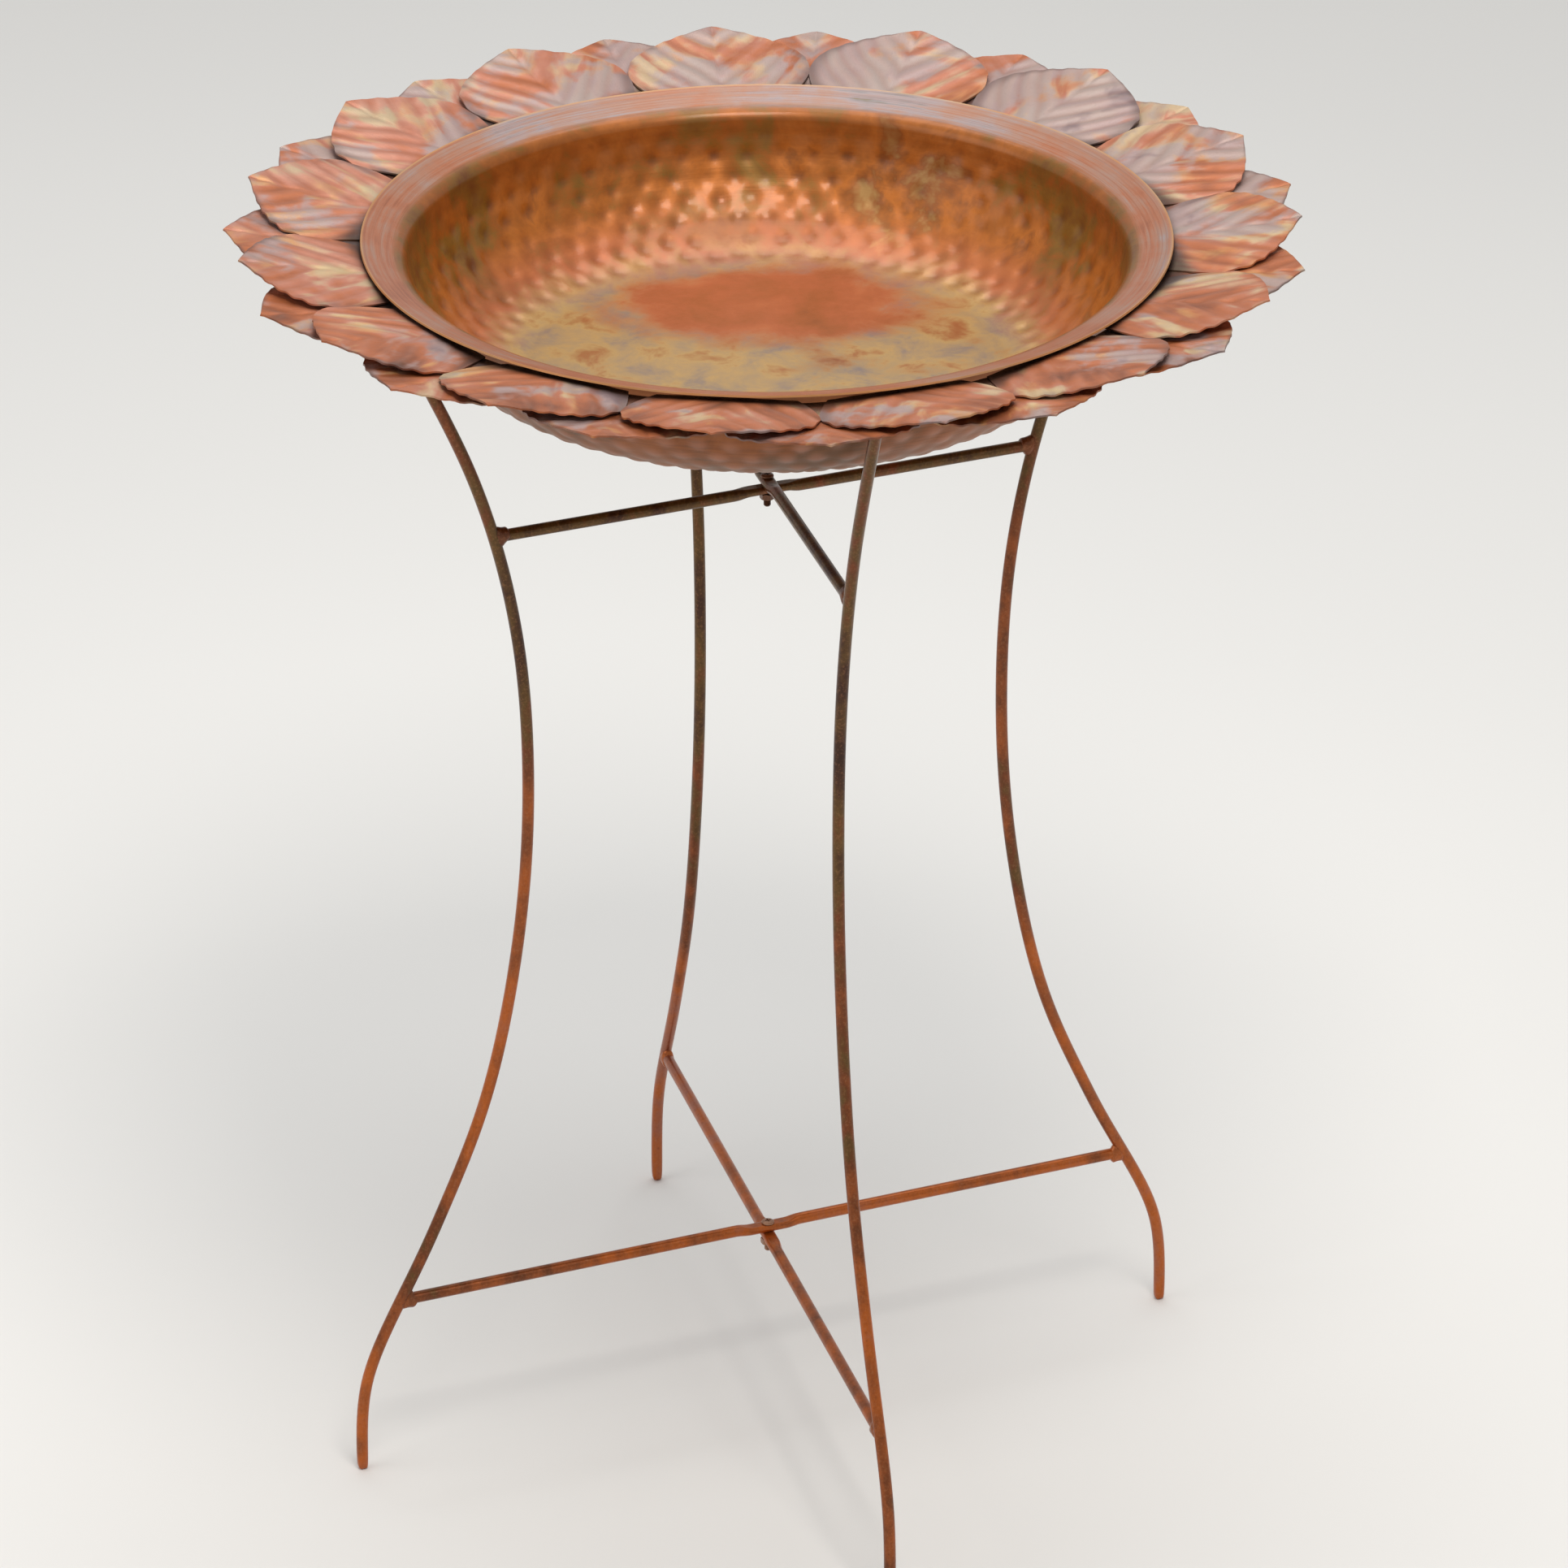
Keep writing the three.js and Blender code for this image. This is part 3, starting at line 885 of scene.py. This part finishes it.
def cut_end(piece, place, outward):
    """Cuts a rod square at a place, closes it and breaks the edge."""
    open_up(piece)
    bpy.ops.mesh.select_all(action="SELECT")
    bpy.ops.mesh.bisect(plane_co=place, plane_no=outward, clear_outer=True, use_fill=True)
    choose(piece, lambda co: abs((co - place).dot(outward)) < 0.01 * MM)
    bpy.ops.mesh.bevel(offset=END_BEVEL, segments=3, affect="EDGES")
    close_up(piece)


def bend_leg(node):
    low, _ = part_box(node)
    leg = cad_copy(node)
    top_ring = sorted((point.co.copy() for point in leg.data.vertices), key=lambda co: -co.z)[:8]
    top = sum(top_ring, Vector()) / len(top_ring)
    apply_modifier(leg, "SUBSURF", levels=2, render_levels=2)
    open_up(leg)
    bpy.ops.mesh.select_all(action="SELECT")
    bpy.ops.transform.shrink_fatten(value=OCTAGON_DRAW)
    close_up(leg)
    cut_end(leg, Vector((0, 0, low.z + FOOT_TRIM)), Vector((0, 0, -1)))
    lean = Vector((math.cos(bearing(node)), math.sin(bearing(node)), TOP_RISE)).normalized()
    cut_end(leg, top - lean * TOP_TRIM, lean)
    settle(leg)
    hand_over(leg, f"{node}_rod", node, ROD_PAINT)
    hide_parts(node)
    print(node, "bent,", len(leg.data.polygons), "faces")


for node in ("leg_a_right", "leg_a_left", "leg_b_back", "leg_b_front"):
    bend_leg(node)

# %% [markdown]
# ## The cross bars
# A bar is the same rod. Near its middle it is squashed in a press, so that the crossing bars lie
# flat on each other, and a hole is drilled through. Here a cylinder is bisected into short lengths,
# and each ring near the middle is widened and flattened before the hole is cut by a Boolean.

# %% Press and drill the bars
PAD_HALF = 10 * MM  # where the flat has its full width
PAD_BLEND = 19 * MM  # where the rod is round again
PAD_WIDTH = 7.8 * MM
PAD_HEIGHT = 4.2 * MM
PAD_INSET = 0.1 * MM
PAD_SQUARENESS = 0.35
HOLE_RADIUS = 2.25 * MM
BAR_OVERRUN = 4.6 * MM  # into the leg, under the weld


def round_bar(radius, start, end, stations, sides=32):
    """A cylinder along the X axis, cut into short lengths at the stations, open in edit mode."""
    bpy.ops.object.select_all(action="DESELECT")
    bpy.ops.mesh.primitive_cylinder_add(
        vertices=sides,
        radius=radius,
        depth=end - start,
        location=((start + end) / 2, 0, 0),
        rotation=(0, math.pi / 2, 0),
    )
    bar = bpy.context.object
    bpy.ops.object.transform_apply(location=True, rotation=True, scale=True)
    open_up(bar)
    for place in stations:
        bpy.ops.mesh.select_all(action="SELECT")
        bpy.ops.mesh.bisect(plane_co=(place, 0, 0), plane_no=(1, 0, 0))
    return bar


def flatten_ring(bar, place, side, share):
    """Widens a ring of the bar and flattens it towards the other bar, by a share of the full press."""

    def ring(co):
        return abs(co.x - place) < 0.05 * MM

    thick = 2 * ROD_RADIUS * (1 - share) + PAD_HEIGHT * share
    wide = 1 + (PAD_WIDTH / 2 / ROD_RADIUS - 1) * share
    tall = thick / (2 * ROD_RADIUS) * (1 + PAD_SQUARENESS * share)
    meeting_face = -side * (ROD_RADIUS - PAD_INSET * share)
    middle = meeting_face + side * thick / 2
    choose(bar, ring)
    bpy.ops.transform.resize(value=(1, wide, tall), center_override=(place, 0, 0))
    bpy.ops.transform.translate(value=(0, 0, middle))
    for way in (1, -1):
        limit = middle + way * thick / 2
        choose(bar, lambda co: ring(co) and (co.z - limit) * way > 0)
        bpy.ops.transform.resize(value=(1, 1, 0), center_override=(0, 0, limit))


def make_bar(node, leg, side):
    low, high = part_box(node)
    height = (low.z + high.z) / 2
    reach = max(point.co.xy.length for point in frame["nodes"][node].data.vertices)
    blend = PAD_BLEND - PAD_HALF
    stations = [0.0, PAD_HALF / 2, PAD_HALF * 0.8, PAD_BLEND]
    stations += [PAD_HALF + blend * share for share in (0, 0.2, 0.4, 0.6, 0.8)]
    stations += [PAD_BLEND + (reach - PAD_BLEND) * share for share in (0.25, 0.5, 0.75)]
    stations = sorted({sign * place for place in stations for sign in (-1, 1)})
    bar = round_bar(ROD_RADIUS, -reach - BAR_OVERRUN, reach + BAR_OVERRUN, stations)
    for place in stations:
        share = 1 - smooth_step(abs(place), PAD_HALF, PAD_BLEND)
        if share > 0:
            flatten_ring(bar, place, side, share)
    close_up(bar)
    bpy.ops.mesh.primitive_cylinder_add(vertices=32, radius=HOLE_RADIUS, depth=30 * MM)
    drill = bpy.context.object
    apply_modifier(bar, "BOOLEAN", object=drill, operation="DIFFERENCE", solver="EXACT")
    bpy.data.objects.remove(drill)
    bar.rotation_euler.z = bearing(leg)
    bar.location.z = height
    settle(bar, 35)
    hand_over(bar, f"{node}_rod", node, ROD_PAINT)
    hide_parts(node)
    print(node, "at", round(height / MM, 1), "mm, reach", round(reach / MM, 1))
    return height, reach


LEGS = {"a": ("leg_a_right", "leg_a_left"), "b": ("leg_b_back", "leg_b_front")}
bars = {}
for letter, sides in (("a", (1, -1)), ("b", (-1, 1))):
    for level, side in zip(("lower", "upper"), sides):
        name = f"{level}_bar_{letter}"
        bars[name] = make_bar(name, LEGS[letter][0], side)

# %% [markdown]
# ## The welds
# Each bar is joined to its legs by one run of weld, ground smooth and painted over: a collar that
# flares from the bar onto the leg. A short cylinder is bisected, and its rings are opened out more
# along the leg than across it. Small lumps are pressed in, and a Subdivision Surface softens them.

# %% Run the welds
COLLAR = (
    # along the bar, then half width across and along the leg, in millimetres
    (-5.5, 3.2, 3.2),
    (-3.8, 3.4, 3.6),
    (-2.2, 3.55, 4.3),
    (-0.8, 3.65, 5.3),
    (0.6, 3.55, 6.2),
    (2.6, 2.8, 5.8),
)
LUMP = 0.35 * MM


def leg_centre(node, height):
    """How far out a CAD leg's centre line runs at a height, and its slope there."""
    out = Vector((math.cos(bearing(node)), math.sin(bearing(node)), 0))
    points = [point.co for point in frame["nodes"][node].data.vertices]
    near = [(co.z - height, co.dot(out)) for co in points if abs(co.z - height) < 24 * MM]
    mean_rise = sum(rise for rise, _ in near) / len(near)
    mean_reach = sum(reach for _, reach in near) / len(near)
    spread = sum((rise - mean_rise) ** 2 for rise, _ in near)
    slope = sum((rise - mean_rise) * (reach - mean_reach) for rise, reach in near) / spread
    return mean_reach - slope * mean_rise, slope


def run_weld(name, bar_node, leg, seed):
    height, _ = bars[bar_node]
    centre, slope = leg_centre(leg, height)
    rings = [(along * MM, across * MM, up * MM) for along, across, up in COLLAR]
    weld = round_bar(3 * MM, rings[0][0], rings[-1][0], [ring[0] for ring in rings[1:-1]], 20)
    for along, across, up in rings:
        choose(weld, lambda co: abs(co.x - along) < 0.05 * MM)
        bpy.ops.transform.resize(
            value=(1, across / (3 * MM), up / (3 * MM)), center_override=(along, 0, 0)
        )
    close_up(weld)

    def lumps(x, y, z):
        return 0.5 + 0.5 * math.sin(1100 * z + seed) * math.cos(900 * y + 2 * seed + 700 * x)

    press(weld, "lump", lumps, LUMP)
    apply_modifier(weld, "SUBSURF", levels=2, render_levels=2)
    surface = centre - ROD_RADIUS * math.hypot(1, slope)
    turn = bearing(leg)
    weld.rotation_euler = (0, math.atan(slope), turn)
    weld.location = (surface * math.cos(turn), surface * math.sin(turn), height)
    settle(weld, 60)
    hand_over(weld, name, bar_node, WELD_PAINT)


for letter, legs in LEGS.items():
    for level in ("lower", "upper"):
        for seed, leg in enumerate(legs):
            run_weld(f"{leg}_{level}_weld", f"{level}_bar_{letter}", leg, 3 * seed + len(level + letter))

# %% [markdown]
# ## The pivot bolts and nuts
# Where two bars cross, a low-headed screw drops through both holes and a hexagon nut holds it from
# below, loose enough for the stand to fold. The screw is turned on the lathe, thread and all. Its
# cross recess, the nut's hole and the nut's chamfers are cut with Booleans.

# %% Turn the screws
THREAD_PITCH = 0.7 * MM
THREAD_DEPTH = 0.32 * MM
HEAD_EDGE = 0.45 * MM
RECESS_LENGTH = 3.4 * MM
RECESS_WIDTH = 0.9 * MM
RECESS_DEPTH = 0.8 * MM


def make_bolt(node):
    low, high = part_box(node)
    points = [point.co for point in frame["nodes"][node].data.vertices]
    head_radius = high.x
    under = min(co.z for co in points if co.xy.length > 0.95 * head_radius)
    shank = max(co.xy.length for co in points if co.z < under - MM)
    skin = [Vector((0, 0, low.z)), Vector((shank - 1.5 * THREAD_DEPTH, 0, low.z))]
    turns = int((under - low.z) / THREAD_PITCH)
    for turn in range(turns):
        root = low.z + (turn + 0.5) * THREAD_PITCH
        skin.append(Vector((shank - THREAD_DEPTH, 0, root)))
        skin.append(Vector((shank, 0, root + THREAD_PITCH / 2)))
    skin += [Vector((shank, 0, under)), Vector((head_radius, 0, under))]
    dome = high.z - under - HEAD_EDGE
    for step in range(6):
        angle = step / 6 * math.pi / 2
        round_part = head_radius * (0.35 + 0.65 * math.cos(angle))
        skin.append(Vector((round_part, 0, under + HEAD_EDGE + dome * math.sin(angle))))
    skin.append(Vector((0, 0, high.z)))
    bolt = turn_on_lathe(skin, 32)
    for turn in (0, math.pi / 2):
        bpy.ops.mesh.primitive_cube_add(size=1, location=(0, 0, high.z), rotation=(0, 0, turn))
        cutter = bpy.context.object
        cutter.scale = (RECESS_LENGTH, RECESS_WIDTH, 2 * RECESS_DEPTH)
        apply_modifier(bolt, "BOOLEAN", object=cutter, operation="DIFFERENCE", solver="EXACT")
        bpy.data.objects.remove(cutter)
    settle(bolt, 30)
    hand_over(bolt, f"{node}_screw", node, BOLT_PAINT)
    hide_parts(node)
    print(node, "thread of", turns, "turns, shank", round(2 * shank / MM, 2), "mm")
    return shank


# %% Cut the nuts
NUT_CHAMFER = 0.45 * MM


def make_nut(node, shank):
    low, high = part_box(node)
    corner = max(point.co.xy.length for point in frame["nodes"][node].data.vertices)
    middle = (low.z + high.z) / 2
    bpy.ops.object.select_all(action="DESELECT")
    bpy.ops.mesh.primitive_cylinder_add(
        vertices=6, radius=corner, depth=high.z - low.z, location=(0, 0, middle)
    )
    nut = bpy.context.object
    flat = corner * math.cos(math.pi / 6)
    chamfer = [
        Vector((0, 0, low.z - 0.01 * MM)),
        Vector((flat, 0, low.z - 0.01 * MM)),
        Vector((corner + 0.1 * MM, 0, low.z + NUT_CHAMFER)),
        Vector((corner + 0.1 * MM, 0, high.z - NUT_CHAMFER)),
        Vector((flat, 0, high.z + 0.01 * MM)),
        Vector((0, 0, high.z + 0.01 * MM)),
    ]
    dome = turn_on_lathe(chamfer, 48)
    apply_modifier(nut, "BOOLEAN", object=dome, operation="INTERSECT", solver="EXACT")
    bpy.data.objects.remove(dome)
    bpy.ops.mesh.primitive_cylinder_add(vertices=32, radius=shank + 0.08 * MM, depth=2 * high.z)
    drill = bpy.context.object
    apply_modifier(nut, "BOOLEAN", object=drill, operation="DIFFERENCE", solver="EXACT")
    bpy.data.objects.remove(drill)
    settle(nut, 20)
    hand_over(nut, f"{node}_hex", node, BOLT_PAINT)
    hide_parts(node)
    print(node, "across flats", round(2 * flat / MM, 1), "mm,", len(nut.data.polygons), "faces")


for level in ("lower", "upper"):
    shank = make_bolt(f"{level}_pivot_bolt")
    make_nut(f"{level}_pivot_nut", shank)

# %% [markdown]
# ## Floor, light and camera
# The bird bath stands on a plain pale floor in a pale room. Polished metal shows what is round it,
# so the light comes from large soft panels: one high on the camera's side makes the glints in the
# bowl, one overhead draws the line along the shoulder, and a weak one fills the shadows.

# %% Floor and room
def stage_floor():
    bpy.ops.object.select_all(action="DESELECT")
    bpy.ops.mesh.primitive_plane_add(size=24, location=(0, 0, 0))
    floor = bpy.context.object
    floor.name = "floor"
    finish = Finish("floor_paper")
    here, *_ = finish.place()
    cloud = finish.noise(here, 0.8, 2.0)
    tone = finish.mix(cloud, paint(226, 224, 220), paint(232, 230, 226))
    floor.data.materials.append(finish.done(Base_Color=tone, Roughness=0.9))


def room_light():
    world = bpy.data.worlds.new("pale_room")
    bpy.context.scene.world = world
    world.use_nodes = True
    background = world.node_tree.nodes["Background"]
    background.inputs["Color"].default_value = (0.93, 0.935, 0.945, 1)
    background.inputs["Strength"].default_value = 0.6


stage_floor()
room_light()

# %% Soft panels
AIM = Vector((0, 0, 0.55))
CAMERA_AZIMUTH = -22.6


def panel(name, azimuth, elevation, distance, size, watts, colour=(1, 1, 1)):
    """A square soft light that looks at the basin. Azimuth 0 stands on the -Y side."""
    turn = math.radians(azimuth)
    rise = math.radians(elevation)
    back = Vector((math.sin(turn) * math.cos(rise), -math.cos(turn) * math.cos(rise), math.sin(rise)))
    light = bpy.data.lights.new(name, "AREA")
    light.size = size
    light.energy = watts
    light.color = colour
    lamp = bpy.data.objects.new(name, light)
    bpy.context.scene.collection.objects.link(lamp)
    lamp.location = AIM + back * distance
    lamp.rotation_euler = back.to_track_quat("Z", "Y").to_euler()


panel("key_panel", CAMERA_AZIMUTH + 14, 62, 2.4, 0.9, 32, (1.0, 0.97, 0.93))
panel("top_panel", CAMERA_AZIMUTH + 180, 74, 2.2, 1.6, 24, (0.95, 0.98, 1.0))
panel("fill_panel", CAMERA_AZIMUTH - 70, 28, 3.0, 2.0, 16)

# %% Camera
CAMERA_BACK = 3.8745
CAMERA_HEIGHT = 2.2873
CAMERA_PITCH = 26.35
CAMERA_YAW = 0.13
LENS = 186.53

turn = math.radians(CAMERA_AZIMUTH)
lens = bpy.data.cameras.new("camera")
lens.lens = LENS
lens.sensor_width = 36
camera = bpy.data.objects.new("camera", lens)
bpy.context.scene.collection.objects.link(camera)
camera.location = (CAMERA_BACK * math.sin(turn), -CAMERA_BACK * math.cos(turn), CAMERA_HEIGHT)
camera.rotation_euler = (
    math.radians(90 - CAMERA_PITCH), 0, math.radians(CAMERA_AZIMUTH - CAMERA_YAW)
)
bpy.context.scene.camera = camera
bpy.context.scene.view_settings.view_transform = "Standard"
print("camera at", [round(v, 3) for v in camera.location])
